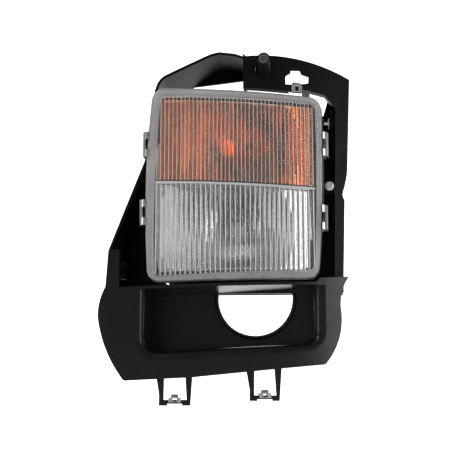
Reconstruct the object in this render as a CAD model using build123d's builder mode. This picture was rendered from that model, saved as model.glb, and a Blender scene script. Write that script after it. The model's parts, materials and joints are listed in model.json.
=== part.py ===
"""Left-hand front bumper lamp: a turn signal over a fog lamp, aimed inside a moulded carrier and bezel.

Millimetres. +X is outboard (to the right seen from the front), -Y faces forward, +Z is up.
The origin is at the root of the locating post, on the front face of the top plate.
"""
from build123d import *
import os
from math import cos, radians, sin, sqrt

# ---------------------------------------------------------------- driving dimensions
WALL = 3.0                      # nominal wall of every moulding
SWEEP_X = -140.0                # axis of the vertical cylinders that the front faces follow
PLATE_RADIUS = 410.0            # top plate and side column
BEZEL_RADIUS = 420.0            # lower bezel
LENS_RADIUS = 414.0             # front of the outer lens
HOOD_RADIUS = 398.0             # front edge of the inboard wall and hood
LEG_RADIUS = 413.0              # front of the two snap legs
SWEEP_Y = sqrt(PLATE_RADIUS**2 - SWEEP_X**2)

RING_BACK = 61.0                # back of the carrier's rear ring
POCKET_BACK = 47.0              # back of the bezel's pocket
POCKET_RADIUS = 14.0            # lower corners of the pocket
BEZEL_FLANGE = 9.5              # depth of the bezel's return flange
COLUMN_DEPTH = 28.0             # depth of the side column's box section
PLATE_LOWER_WALL = 9.0          # depth of the top plate's lower wall

POST_RADIUS = 6.5
POST_LENGTH = 40.0
POST_BORE = 5.3
BORE_DEPTH = 12.0               # blind bore in the post's end, for the rubber buffer

WINDOW_X = -13.7                # tow-hook window
WINDOW_Z = -237.7
WINDOW_TOP = -232.0
WINDOW_RADIUS = 39.3
WINDOW_LIP = 4.0

LENS_THICKNESS = 3.0
LENS_SKIRT = 7.0                # depth of the lens from face to rear edge
GASKET = 1.5
HOUSING_BACK = 66.0
PARTITION_Z = -123.8            # divider between the turn signal and the fog lamp
PARTITION = 2.4

PIVOT_Y = 48.0
PIVOT_Z = -46.0
PIN_RADIUS = 2.0
RUNNING_GAP = 0.05
AIM_X = 66.5
AIM_Z = -118.0
SCREW_RADIUS = 2.5
JOURNAL_RADIUS = 3.0

TURN_X = -17.0                  # optical axes
TURN_Z = -79.0
FOG_X = -30.0
FOG_Z = -170.0
TURN_FOCUS = 20.0
FOG_FOCUS = 22.0
VERTEX_Y = 56.0                 # where both reflectors' vertices lie
SOCKET_LUG = 2.4
LUG_COUNT = 3

os.makedirs("parts", exist_ok=True)


def face_y(x, radius):
    """Y of a swept face of the given radius at x."""
    return SWEEP_Y - sqrt(radius**2 - (x - SWEEP_X) ** 2)


def shelf_z(x):
    """Height of the bezel's sloping shelf at x."""
    return -225.86 + x * 0.0455


def swept_shell(outline, front_radius, depth):
    """A panel of the outline, seen from the front, between two concentric vertical cylinders."""
    with BuildPart() as panel:
        extrude(outline, amount=250, both=True)
        with BuildSketch(Plane.XY.offset(-400)):
            with Locations((SWEEP_X, SWEEP_Y)):
                Circle(front_radius)
                Circle(front_radius - depth, mode=Mode.SUBTRACT)
        extrude(amount=500, mode=Mode.INTERSECT)
    return panel.part


def swept_block(outline, front_radius, back_y):
    """A block of the outline, from the swept front face to a flat back."""
    with BuildPart() as block:
        extrude(outline, amount=250, both=True)
        with BuildSketch(Plane.XY.offset(-400)):
            with Locations((SWEEP_X, SWEEP_Y)):
                Circle(front_radius)
            with Locations((SWEEP_X, back_y)):
                Rectangle(1200, 1000, align=(Align.CENTER, Align.MAX), mode=Mode.INTERSECT)
        extrude(amount=500, mode=Mode.INTERSECT)
    return block.part


def on_sweep(edge, radius):
    """Whether an edge lies on the swept face of the given radius."""
    points = (edge @ 0, edge @ 0.5, edge @ 1)
    return all(abs(sqrt((p.X - SWEEP_X) ** 2 + (p.Y - SWEEP_Y) ** 2) - radius) < 0.01 for p in points)


def rim_outline(outline, width):
    """The border of an outline, as a ring of the given width inside it."""
    with BuildSketch(Plane.XZ) as ring:
        add(outline)
        offset(outline, amount=-width, mode=Mode.SUBTRACT)
    return ring.sketch


def finish(piece, label):
    """Labels a finished piece and writes it."""
    piece.part.label = label
    export_step(piece.part, f"parts/{label}.step")


# ---------------------------------------------------------------- lower bezel
with BuildSketch(Plane.XZ) as bezel_outline:
    with BuildLine():
        Polyline(
            (-157.6, -194.5), (-146.4, -194.5), (-146.4, shelf_z(-146.4)),
            (50.5, shelf_z(50.5)), (54, -219.5), (84.6, -216.3),
        )
        ThreePointArc((84.6, -216.3), (77.5, -232), (75.8, -250))
        ThreePointArc((75.8, -250), (72.5, -284), (58.8, -307.7))
        Polyline((58.8, -307.7), (-73.6, -321.5), (-140, -324.7))
        ThreePointArc((-140, -324.7), (-160, -290), (-167.2, -262))
        ThreePointArc((-167.2, -262), (-166, -248), (-160, -232))
        Line((-160, -232), (-157.6, -194.5))
    make_face()

with BuildSketch(Plane.XZ) as shelf_outline:
    Polygon(
        (-146.4, shelf_z(-146.4)), (50.5, shelf_z(50.5)),
        (50.5, shelf_z(50.5) - WALL), (-146.4, shelf_z(-146.4) - WALL), align=None,
    )


def pocket_outline(plane, grow):
    """The pocket's opening, enlarged all round by grow."""
    top_left = shelf_z(-121) - WALL + grow
    top_right = shelf_z(47) - WALL + grow
    with BuildSketch(plane) as opening:
        with BuildLine():
            Polyline(
                (-121 - grow, top_left), (-121 - grow, -297 - grow),
                (47 + grow, -286.5 - grow), (47 + grow, top_right), close=True,
            )
        make_face()
        corners = opening.vertices().sort_by(Axis.Y)
        fillet(corners[:2], POCKET_RADIUS + grow)
    return opening.sketch


def leg_outline(x_left, x_right, z_foot):
    """A snap leg: two straps joined by a bar that arches between two feet."""
    middle = (x_left + x_right) / 2
    half = (x_right - x_left) / 2
    with BuildSketch(Plane.XZ) as leg:
        with BuildLine():
            Polyline(
                (x_left - 3.5, z_foot + 32), (x_left, z_foot + 11), (x_left, z_foot),
                (middle - 7.4, z_foot), (middle - 7.4, z_foot + 1.8),
                (middle + 7.4, z_foot + 1.8), (middle + 7.4, z_foot), (x_right, z_foot),
                (x_right + 2.2, z_foot + 32), close=True,
            )
        make_face()
        with BuildLine():
            Polyline(
                (middle - half + 4.8, z_foot + 32), (middle - half + 4.4, z_foot + 5.6),
                (middle + half - 3.4, z_foot + 5.6), (middle + half - 5.0, z_foot + 32), close=True,
            )
        make_face(mode=Mode.SUBTRACT)
    return leg.sketch


LEFT_LEG = (-105.9, -75.4, -348.8)
RIGHT_LEG = (-17.5, 12.1, -344.4)
TAB_XZ = ((-100, -246), (40, -246))       # screws through the carrier's rear tabs
WING_XZ = (-152, -213)                    # screw through the carrier's front lug
BOSS_RADIUS = 4.5
PILOT_RADIUS = 1.55
SCREW_HOLE = 1.8

with BuildSketch(Plane.XZ) as wing_boss_outline:
    with Locations(WING_XZ):
        Circle(BOSS_RADIUS)
wing_boss = swept_shell(wing_boss_outline.sketch, BEZEL_RADIUS - 1, BEZEL_RADIUS - 1.1 - HOOD_RADIUS)

bezel_face = swept_shell(bezel_outline.sketch, BEZEL_RADIUS, WALL)
bezel_tub = swept_block(pocket_outline(Plane.XZ, WALL), BEZEL_RADIUS, POCKET_BACK)
bezel_flange = swept_shell(rim_outline(bezel_outline.sketch, WALL), BEZEL_RADIUS, BEZEL_FLANGE)
bezel_shelf = swept_block(shelf_outline.sketch, BEZEL_RADIUS, POCKET_BACK)
left_leg = swept_shell(leg_outline(*LEFT_LEG), LEG_RADIUS, WALL)
right_leg = swept_shell(leg_outline(*RIGHT_LEG), LEG_RADIUS, WALL)

with BuildPart() as lower_bezel:
    add(bezel_face)
    add(bezel_tub)
    add(bezel_flange)
    add(bezel_shelf)
    with BuildSketch(Plane.XZ.offset(WALL - POCKET_BACK)):
        add(pocket_outline(Plane.XY, 0))
    extrude(amount=150, mode=Mode.SUBTRACT)
    pocket_rear = [
        e for e in lower_bezel.edges()
        if on_sweep(e, BEZEL_RADIUS - WALL) and -130 < (e @ 0.5).X < 54 and -305 < (e @ 0.5).Z < -232
    ]
    fillet(pocket_rear, 6)
    pocket_mouth = [
        e for e in lower_bezel.edges()
        if on_sweep(e, BEZEL_RADIUS) and -125 < (e @ 0.5).X < 50
        and -299 < (e @ 0.5).Z < shelf_z((e @ 0.5).X) - WALL - 0.1
    ]
    fillet(pocket_mouth, 9)
    add(left_leg)
    add(right_leg)
    add(wing_boss)
    with BuildSketch(Plane.XZ.offset(-RING_BACK + WALL)):
        with Locations(*TAB_XZ):
            Circle(BOSS_RADIUS)
    extrude(amount=RING_BACK - WALL - POCKET_BACK + 1)
    with BuildSketch(Plane.XZ.offset(-RING_BACK)):
        with Locations(*TAB_XZ):
            Circle(PILOT_RADIUS)
    extrude(amount=RING_BACK - POCKET_BACK - 0.5, mode=Mode.SUBTRACT)
    with BuildSketch(Plane.XZ):
        with Locations(WING_XZ):
            Circle(PILOT_RADIUS)
    extrude(amount=28, mode=Mode.SUBTRACT)
    with BuildSketch(Plane.XZ.offset(WALL - POCKET_BACK)):
        with Locations((WINDOW_X, WINDOW_Z)):
            Circle(WINDOW_RADIUS + WINDOW_LIP)
        with Locations((WINDOW_X, WINDOW_TOP)):
            Rectangle(120, 60, align=(Align.CENTER, Align.MIN), mode=Mode.SUBTRACT)
    extrude(amount=WINDOW_LIP)
    with BuildSketch(Plane.XZ.offset(-POCKET_BACK - 1)):
        with Locations((WINDOW_X, WINDOW_Z)):
            Circle(WINDOW_RADIUS)
        with Locations((WINDOW_X, WINDOW_TOP)):
            Rectangle(120, 60, align=(Align.CENTER, Align.MIN), mode=Mode.SUBTRACT)
    extrude(amount=WALL + WINDOW_LIP + 2, mode=Mode.SUBTRACT)
    lip_edges = [
        e for e in lower_bezel.edges()
        if e.geom_type == GeomType.CIRCLE and abs(e.radius - WINDOW_RADIUS - WINDOW_LIP) < 0.01
        and (e @ 0.5).Y < POCKET_BACK - WALL - 1
    ]
    fillet(lip_edges, 2.5)
finish(lower_bezel, "lower_bezel")


# ---------------------------------------------------------------- lamp outline for lens, housing and ring
with BuildSketch(Plane.XZ) as lens_outline:
    with BuildLine():
        Line((-116, -24), (59, -24))
        ThreePointArc((59, -24), (61, -90), (53.5, -220))
        Line((53.5, -220), (-119, -227.5))
        ThreePointArc((-119, -227.5), (-122.4, -140), (-116, -24))
    make_face()
    fillet(lens_outline.vertices(), 13)


def inside_lens(inset):
    """The lens outline drawn in by inset."""
    with BuildSketch(Plane.XZ) as smaller:
        offset(lens_outline.sketch, amount=-inset)
    return smaller.sketch


RING_INSET = 6.5                # ring opening, housing wall and reflector inside the lens outline
HOUSING_INSET = 8.0
REFLECTOR_INSET = HOUSING_INSET + WALL

# ---------------------------------------------------------------- carrier frame
HOOD_CORNERS = {                # corners of the hood, and their radii
    (-161.6, -190.7): 12.0, (-138.5, -131.5): 30.0, (-125, -97.1): 30.0,
    (-111.8, -9.1): 20.0, (-57.9, 18.9): 10.0, (-49.4, 21.7): 10.0,
}
with BuildSketch(Plane.XZ) as hood_outline:
    with BuildLine() as hood_line:
        Polyline(
            (-161.5, -232), (-161.6, -190.7), (-138.5, -131.5), (-125, -97.1), (-122.4, -68),
            (-116, -22.4), (-111.8, -9.1), (-57.9, 18.9), (-49.4, 21.7), (-32.4, 20.9), (-22.2, 18.2),
        )
        for corner, radius in HOOD_CORNERS.items():
            fillet(hood_line.vertices().sort_by_distance((*corner, 0))[0], radius)
        offset(amount=WALL, side=Side.RIGHT)
    make_face()

with BuildSketch(Plane.XZ) as plate_outline:
    with BuildLine():
        ThreePointArc((-23.2, 14.3), (33.9, 17.1), (90.5, 3.1))
        Line((90.5, 3.1), (86.1, -99.7))
        ThreePointArc((86.1, -99.7), (84.0, -112), (80.8, -122))
        ThreePointArc((80.8, -122), (80.6, -128), (82.5, -132.7))
        Polyline(
            (82.5, -132.7), (79.8, -214.7), (79.5, -232), (70, -232), (73.5, -60), (73.9, -31),
            (66.4, -24), (62.2, -19.2), (48.2, -17.4), (44, -16.4), (40, -16.4), (39, -19.6),
            (-23.2, -20), (-23.2, 14.3),
        )
    make_face()

with BuildSketch(Plane.XZ) as window_outline:
    Polygon(
        (21.2, -12.4), (21.2, -3), (24.5, -0.6), (26.4, 0.6), (26.6, 3.8), (36.4, 4.8),
        (37.2, 1.3), (40, 0.2), (45.6, -0.9), (45.2, -8.4), (39.5, -10), (25, -12.2), align=None,
    )

with BuildSketch(Plane.XZ) as plate_relief_outline:
    Polygon((-20.2, -25), (-20.2, -14), (58, -14), (69, -16), (80, -30), (70, -37), (50, -37), align=None)

with BuildSketch(Plane.XZ) as lug_outline:
    Polygon((-160, -222), (-144, -222), (-144, -204), (-160, -204), align=None)

with BuildSketch(Plane.XZ) as end_wall_outline:
    Polygon((-23.2, 8), (-20.2, 8), (-20.2, 15), (-23.2, 18), align=None)

with BuildSketch(Plane.XZ) as clip_slot_outline:
    Polygon((24.5, -22), (40.5, -22), (40.5, -13), (24.5, -15), align=None)

hood = swept_block(hood_outline.sketch, HOOD_RADIUS, RING_BACK)
plate_face = swept_shell(plate_outline.sketch, PLATE_RADIUS, WALL)
plate_walls = swept_shell(rim_outline(plate_outline.sketch, WALL), PLATE_RADIUS, COLUMN_DEPTH)
wing_lug = swept_shell(lug_outline.sketch, HOOD_RADIUS, WALL)
clip_slot = swept_shell(clip_slot_outline.sketch, PLATE_RADIUS - WALL, PLATE_LOWER_WALL)
plate_relief = swept_block(plate_relief_outline.sketch, PLATE_RADIUS - PLATE_LOWER_WALL, RING_BACK + 10)
plate_window = swept_shell(window_outline.sketch, PLATE_RADIUS + 1, WALL + 2)
end_wall = swept_block(end_wall_outline.sketch, PLATE_RADIUS, RING_BACK)

PIVOT_BOSS = 7.0
BUSH_RADIUS = 4.5
LEFT_WALL_X = -117.8            # middle of the inboard wall at the pivot's height
RIB_X = 69.5
RIB_WIDTH = 2.5
EAR_Y = 38.0
EAR_DEPTH = 4.0
BEARING_RADIUS = 4.0            # nylon bearing of the aim screw
SILL = 2.5                      # lip under the lamp that closes the view through the ring
SILL_DEPTH = 20.0
SCREW_CLEARANCE = 4.5           # hole in the rear ring for the aim screw's end

PAD_RADIUS = 10.5               # flat round pad that the post stands on
PAD_DEPTH = 5.5
with BuildPart() as post:
    with BuildSketch(Plane.XZ.offset(-PAD_DEPTH)):
        Circle(PAD_RADIUS)
    extrude(amount=PAD_DEPTH)
    with BuildSketch(Plane.XZ):
        Circle(POST_RADIUS)
    extrude(amount=POST_LENGTH)
    with BuildSketch(Plane.XZ.offset(POST_LENGTH - BORE_DEPTH)):
        Circle(POST_BORE)
    extrude(amount=BORE_DEPTH, mode=Mode.SUBTRACT)

with BuildPart() as carrier_frame:
    add(hood)
    add(plate_face)
    add(plate_walls)
    add(wing_lug)
    add(end_wall)
    add(clip_slot, mode=Mode.SUBTRACT)
    add(plate_relief, mode=Mode.SUBTRACT)
    add(plate_window, mode=Mode.SUBTRACT)
    with BuildSketch(Plane.XZ.offset(-RING_BACK)) as ring:
        with BuildLine():
            Polyline(
                (-160.5, -232), (-160.6, -190.7), (-137.5, -131.5), (-124, -97.1), (-121.4, -68),
                (-115, -22.4), (-110.8, -9.1), (-57.9, 17.9), (-49.4, 20.7), (-32.4, 19.9),
                (-20.2, 17), (-20.2, 9.4), (-53, 5.8), (-66, 4.4), (-82, 2.8), (-92, -3), (-108, -14),
                (-110, -30), (20, -30), (56, -36), (61.5, -34.3), (67.2, -15), (77, -15), (78, -232),
                close=True,
            )
        make_face()
        with Locations(*[(x, -243) for x, _ in TAB_XZ]):
            Rectangle(16, 24)
        add(inside_lens(RING_INSET), mode=Mode.SUBTRACT)
        with Locations((AIM_X, AIM_Z)):
            Circle(SCREW_CLEARANCE, mode=Mode.SUBTRACT)
    extrude(amount=WALL)
    with BuildSketch(Plane.XZ.offset(-RING_BACK)):
        add(inside_lens(RING_INSET - SILL))
        add(inside_lens(RING_INSET), mode=Mode.SUBTRACT)
        with Locations((-31, -220)):
            Rectangle(150, 24, mode=Mode.INTERSECT)
    extrude(amount=SILL_DEPTH)
    with BuildSketch(Plane.XZ.offset(-RING_BACK + 1)):
        with Locations((RIB_X + RIB_WIDTH / 2, -61.5)):
            Rectangle(RIB_WIDTH, 61)
        with Locations((RIB_X + RIB_WIDTH / 2, -176)):
            Rectangle(RIB_WIDTH, 72)
    extrude(amount=18)
    with BuildSketch(Plane.YZ.offset(RIB_X - 2)):
        with Locations((PIVOT_Y, PIVOT_Z)):
            Circle(PIVOT_BOSS)
    extrude(amount=7)
    with BuildSketch(Plane.YZ.offset(LEFT_WALL_X - 4)):
        with Locations((PIVOT_Y, PIVOT_Z)):
            Circle(PIVOT_BOSS)
    extrude(amount=7.5)
    with BuildSketch(Plane.YZ.offset(-130)):
        with Locations((PIVOT_Y, PIVOT_Z)):
            Circle(BUSH_RADIUS)
    extrude(amount=202.5, mode=Mode.SUBTRACT)
    with BuildSketch(Plane.XZ.offset(-EAR_Y - EAR_DEPTH / 2)):
        with Locations((AIM_X, AIM_Z)):
            Circle(BEARING_RADIUS + 1.2)
            Rectangle(8, 9, align=(Align.MIN, Align.CENTER))
            Circle(BEARING_RADIUS, mode=Mode.SUBTRACT)
    extrude(amount=EAR_DEPTH)
    with BuildSketch(Plane.XZ):
        Circle(PAD_RADIUS)
    extrude(amount=PAD_DEPTH, mode=Mode.SUBTRACT)
    add(post.part)
    with BuildSketch(Plane.XZ.offset(-RING_BACK)):
        with Locations(*TAB_XZ):
            Circle(SCREW_HOLE)
    extrude(amount=2 * WALL, mode=Mode.SUBTRACT)
    with BuildSketch(Plane.XZ):
        with Locations(WING_XZ):
            Circle(SCREW_HOLE)
    extrude(amount=20, mode=Mode.SUBTRACT)
finish(carrier_frame, "carrier_frame")

# ---------------------------------------------------------------- fittings on the carrier
BUFFER_LENGTH = 12.5
with BuildPart() as post_buffer:
    with BuildSketch(Plane.XZ.offset(POST_LENGTH - BORE_DEPTH)):
        Circle(POST_BORE)
    extrude(amount=BUFFER_LENGTH)
    fillet(post_buffer.edges().group_by(Axis.Y)[0], 0.45)
finish(post_buffer, "post_buffer")

BUSH_COLLAR = 6.0
BUSH_BORE = PIN_RADIUS + RUNNING_GAP


def pivot_bush(x_collar, direction, sleeve):
    """A flanged nylon bush along X, its collar at x_collar and its sleeve running the given way."""
    with BuildPart() as bush:
        with BuildSketch(Plane(origin=(x_collar, PIVOT_Y, PIVOT_Z), z_dir=(direction, 0, 0))):
            Circle(BUSH_RADIUS)
        extrude(amount=sleeve)
        with BuildSketch(Plane(origin=(x_collar, PIVOT_Y, PIVOT_Z), z_dir=(-direction, 0, 0))):
            Circle(BUSH_COLLAR)
        extrude(amount=1)
        with BuildSketch(Plane(origin=(x_collar - 2 * direction, PIVOT_Y, PIVOT_Z), z_dir=(direction, 0, 0))):
            Circle(BUSH_BORE)
        extrude(amount=12, mode=Mode.SUBTRACT)
    return bush


LEFT_BUSH_X = LEFT_WALL_X + 3.5
RIGHT_BUSH_X = RIB_X - 2
left_pivot_bush = pivot_bush(LEFT_BUSH_X, -1, 6.5)
finish(left_pivot_bush, "left_pivot_bush")
right_pivot_bush = pivot_bush(RIGHT_BUSH_X, 1, 5)
finish(right_pivot_bush, "right_pivot_bush")

with BuildPart() as aim_screw_bearing:
    with BuildSketch(Plane.XZ.offset(-EAR_Y - EAR_DEPTH / 2)):
        with Locations((AIM_X, AIM_Z)):
            Circle(BEARING_RADIUS)
    extrude(amount=EAR_DEPTH)
    with BuildSketch(Plane.XZ.offset(EAR_DEPTH / 2 - EAR_Y)):
        with Locations((AIM_X, AIM_Z)):
            Circle(BEARING_RADIUS + 0.8)
    extrude(amount=0.8)
    with BuildSketch(Plane.XZ.offset(-EAR_Y - EAR_DEPTH)):
        with Locations((AIM_X, AIM_Z)):
            Circle(JOURNAL_RADIUS + RUNNING_GAP)
    extrude(amount=2 * EAR_DEPTH, mode=Mode.SUBTRACT)
finish(aim_screw_bearing, "aim_screw_bearing")

CLIP_STRIP = 0.8
CLIP_WIDTH = 13.0


def u_clip(plane, reach, crown, gap):
    """A spring U-clip: two pierced legs, reach long and gap apart, joined by a round crown above."""
    half = (gap + CLIP_STRIP) / 2
    with BuildPart() as clip:
        with BuildSketch(plane):
            with BuildLine() as spine:
                Line((-half, -reach), (-half, crown))
                ThreePointArc((-half, crown), (0, crown + half), (half, crown))
                Line((half, crown), (half, -reach))
            trace(spine.line, line_width=CLIP_STRIP)
        extrude(amount=CLIP_WIDTH / 2, both=True)
    return clip


def swept_frame(x, z, radius):
    """A plane across a swept wall at x: its local x runs to the rear, its local y upward."""
    lean = (x - SWEEP_X) / radius
    rearward = Vector(-lean, sqrt(1 - lean**2), 0)
    return Plane(origin=(x, face_y(x, radius), z), x_dir=rearward, z_dir=rearward.cross(Vector(0, 0, 1)))


TOP_CLIP = (32.2, -13)
top_clip = u_clip(swept_frame(*TOP_CLIP, PLATE_RADIUS - WALL / 2), 7, 1.8, WALL + 0.3)
finish(top_clip, "top_mounting_clip")
for clip_name, (x_left, x_right, z_foot) in (("left", LEFT_LEG), ("right", RIGHT_LEG)):
    leg_frame = swept_frame((x_left + x_right) / 2, z_foot + 5.6, LEG_RADIUS - WALL / 2)
    leg_clip = u_clip(leg_frame, 2.6, 3.0, WALL + 0.3)
    finish(leg_clip, f"{clip_name}_mounting_clip")

with BuildPart() as bezel_screws:
    with BuildSketch(Plane.XZ.offset(-RING_BACK - 2.5)):
        with Locations(*TAB_XZ):
            Circle(4)
    extrude(amount=2.5)
    with BuildSketch(Plane.XZ.offset(-RING_BACK)):
        with Locations(*TAB_XZ):
            Circle(1.5)
    extrude(amount=12)
    with BuildSketch(Plane.XZ.offset(6.5)):
        with Locations(WING_XZ):
            Circle(4)
    extrude(amount=2.5)
    with BuildSketch(Plane.XZ.offset(9)):
        with Locations(WING_XZ):
            Circle(1.5)
    extrude(amount=17)
finish(bezel_screws, "bezel_screws")

# ---------------------------------------------------------------- aim screw
NUT_SIZE = 9.0
NUT_DEPTH = 4.0
EAR_FRONT = EAR_Y - EAR_DEPTH / 2 - 0.8
with BuildPart() as aim_screw:
    with BuildSketch(Plane.XZ.offset(-EAR_FRONT + 0.1)):
        with Locations((AIM_X, AIM_Z)):
            Circle(4)
    extrude(amount=4.5)
    with BuildSketch(Plane.XZ.offset(-EAR_Y - 5)):
        with Locations((AIM_X, AIM_Z)):
            Circle(JOURNAL_RADIUS)
    extrude(amount=8)
    with BuildSketch(Plane.XZ.offset(-EAR_Y - 28)):
        with Locations((AIM_X, AIM_Z)):
            Circle(SCREW_RADIUS)
    extrude(amount=23)
    with BuildSketch(Plane.XZ.offset(-EAR_FRONT + 4.6)):
        with Locations((AIM_X, AIM_Z)):
            RectangleRounded(5, 1.1, 0.3)
            RectangleRounded(1.1, 5, 0.3)
    extrude(amount=-2, mode=Mode.SUBTRACT)
finish(aim_screw, "aim_screw")

with BuildPart() as aim_screw_ring:
    with BuildSketch(Plane.XZ.offset(-EAR_Y - EAR_DEPTH / 2 - 1.2)):
        with Locations((AIM_X, AIM_Z)):
            Circle(4.6)
            Circle(JOURNAL_RADIUS, mode=Mode.SUBTRACT)
    extrude(amount=1)
finish(aim_screw_ring, "aim_screw_ring")

with BuildPart() as aim_nut:
    with BuildSketch(Plane.XZ.offset(-PIVOT_Y - NUT_DEPTH / 2)):
        with Locations((AIM_X, AIM_Z)):
            Rectangle(NUT_SIZE, NUT_SIZE)
            Circle(SCREW_RADIUS + 0.35, mode=Mode.SUBTRACT)
    extrude(amount=NUT_DEPTH)
finish(aim_nut, "aim_nut")

# ---------------------------------------------------------------- lamp shell and optics
lens_face = swept_shell(lens_outline.sketch, LENS_RADIUS, LENS_THICKNESS)
lens_rim = swept_shell(rim_outline(lens_outline.sketch, WALL), LENS_RADIUS, LENS_SKIRT)
with BuildPart() as lens:
    add(lens_face)
    add(lens_rim)
    lens_front = [e for e in lens.edges() if on_sweep(e, LENS_RADIUS)]
    fillet(lens_front, 2)
finish(lens, "lens")

GASKET_RADIUS = LENS_RADIUS - LENS_SKIRT
FLANGE_RADIUS = GASKET_RADIUS - GASKET
gasket_shell = swept_shell(rim_outline(lens_outline.sketch, WALL + 1.5), GASKET_RADIUS, GASKET)
with BuildPart() as lens_gasket:
    add(gasket_shell)
finish(lens_gasket, "lens_gasket")

TURN_HOLE = 19.2
FOG_HOLE = 14.2
LUG_ANGLE = 30.0
LUG_GAP = 0.4
TWIST = 45.0


def lug_ring(inner, outer, angle, start, plane):
    """Bayonet lugs, or their notches, as equal sectors of a ring."""
    with BuildSketch(plane) as lugs:
        for index in range(LUG_COUNT):
            first = radians(start + index * 360 / LUG_COUNT - angle / 2)
            middle = first + radians(angle / 2)
            last = first + radians(angle)
            with BuildLine():
                ThreePointArc(*[(outer * cos(a), outer * sin(a)) for a in (first, middle, last)])
                ThreePointArc(*[(inner * cos(a), inner * sin(a)) for a in (last, middle, first)])
                Line((outer * cos(first), outer * sin(first)), (inner * cos(first), inner * sin(first)))
                Line((outer * cos(last), outer * sin(last)), (inner * cos(last), inner * sin(last)))
            make_face()
    return lugs.sketch


def rear_plane(x, z, y):
    """A plane facing forward at y, centred on an optical axis."""
    return Plane(origin=(x, y, z), x_dir=(1, 0, 0), z_dir=(0, -1, 0))


turn_notches = lug_ring(17, 22.5, LUG_ANGLE + 6, -TWIST, rear_plane(TURN_X, TURN_Z, HOUSING_BACK + 1))
fog_notches = lug_ring(12, 17, LUG_ANGLE + 6, -TWIST, rear_plane(FOG_X, FOG_Z, HOUSING_BACK + 1))
housing_flange = swept_shell(rim_outline(lens_outline.sketch, REFLECTOR_INSET), FLANGE_RADIUS, WALL)
housing_tub = swept_block(inside_lens(HOUSING_INSET), FLANGE_RADIUS, HOUSING_BACK)
housing_cavity = swept_block(inside_lens(REFLECTOR_INSET), BEZEL_RADIUS, HOUSING_BACK - WALL)
with BuildSketch(Plane.XZ) as partition_outline:
    with Locations((-30, PARTITION_Z)):
        Rectangle(164, PARTITION)
partition = swept_block(partition_outline.sketch, FLANGE_RADIUS, HOUSING_BACK - 1)
PIN_ROOT_LEFT = -112.8
PIN_ROOT_RIGHT = 62.0
with BuildPart() as lamp_housing:
    add(housing_flange)
    add(housing_tub)
    add(housing_cavity, mode=Mode.SUBTRACT)
    add(partition)
    with BuildSketch(Plane.YZ.offset(PIN_ROOT_LEFT)):
        with Locations((PIVOT_Y, PIVOT_Z)):
            Circle(5)
    extrude(amount=5)
    with BuildSketch(Plane.YZ.offset(50.5)):
        with Locations((PIVOT_Y, PIVOT_Z)):
            Circle(5)
    extrude(amount=PIN_ROOT_RIGHT - 50.5)
    with BuildSketch(Plane.YZ.offset(PIN_ROOT_LEFT - 1)):
        with Locations((PIVOT_Y, PIVOT_Z)):
            Circle(PIN_RADIUS)
    extrude(amount=5, mode=Mode.SUBTRACT)
    with BuildSketch(Plane.YZ.offset(PIN_ROOT_RIGHT - 8)):
        with Locations((PIVOT_Y, PIVOT_Z)):
            Circle(PIN_RADIUS)
    extrude(amount=9, mode=Mode.SUBTRACT)
    with BuildSketch(Plane.XZ.offset(-PIVOT_Y - 2.5)):
        with Locations((60.5, AIM_Z)):
            Rectangle(21, 14)
    extrude(amount=5)
    with BuildSketch(Plane.XZ.offset(-PIVOT_Y - NUT_DEPTH / 2)):
        with Locations((AIM_X, AIM_Z)):
            Rectangle(NUT_SIZE + 0.02, NUT_SIZE)
    extrude(amount=NUT_DEPTH, mode=Mode.SUBTRACT)
    with BuildSketch(Plane.XZ.offset(-PIVOT_Y - 4)):
        with Locations((AIM_X, AIM_Z)):
            Circle(SCREW_RADIUS + 1.0)
    extrude(amount=8, mode=Mode.SUBTRACT)
    with BuildSketch(Plane.XZ.offset(-HOUSING_BACK - 1)):
        with Locations((TURN_X, TURN_Z)):
            Circle(TURN_HOLE)
        with Locations((FOG_X, FOG_Z)):
            Circle(FOG_HOLE)
    extrude(amount=6, mode=Mode.SUBTRACT)
    extrude(turn_notches, amount=6, dir=(0, -1, 0), mode=Mode.SUBTRACT)
    extrude(fog_notches, amount=6, dir=(0, -1, 0), mode=Mode.SUBTRACT)
    with BuildSketch(Plane.XZ.offset(-HOUSING_BACK - 6)):
        with Locations((-86, -198)):
            Circle(4)
    extrude(amount=6)
    with BuildSketch(Plane.XZ.offset(-HOUSING_BACK - 7)):
        with Locations((-86, -198)):
            Circle(2.2)
    extrude(amount=12, mode=Mode.SUBTRACT)
finish(lamp_housing, "lamp_housing")

with BuildPart() as vent_cap:
    with BuildSketch(Plane.XZ.offset(-HOUSING_BACK - 9)):
        with Locations((-86, -198)):
            Circle(6)
    extrude(amount=7.5)
    with BuildSketch(Plane.XZ.offset(-HOUSING_BACK - 6)):
        with Locations((-86, -198)):
            Circle(4)
    extrude(amount=6, mode=Mode.SUBTRACT)
finish(vent_cap, "vent_cap")

for side, x_start, length in (("left", PIN_ROOT_LEFT - 6.5, 10.5), ("right", PIN_ROOT_RIGHT - 8, 18)):
    with BuildPart() as pin:
        with BuildSketch(Plane.YZ.offset(x_start)):
            with Locations((PIVOT_Y, PIVOT_Z)):
                Circle(PIN_RADIUS)
        extrude(amount=length)
        chamfer(pin.edges().filter_by(GeomType.CIRCLE), 0.3)
    finish(pin, f"{side}_pivot_pin")


def compartment(low, high, inset):
    """The lamp's inside between two heights, seen from the front, drawn in by inset."""
    with BuildSketch(Plane.XZ) as region:
        add(inside_lens(REFLECTOR_INSET))
        with Locations((-30, (low + high) / 2)):
            Rectangle(300, high - low, mode=Mode.INTERSECT)
        if inset:
            offset(amount=-inset, kind=Kind.INTERSECTION, mode=Mode.REPLACE)
    return region.sketch


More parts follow.
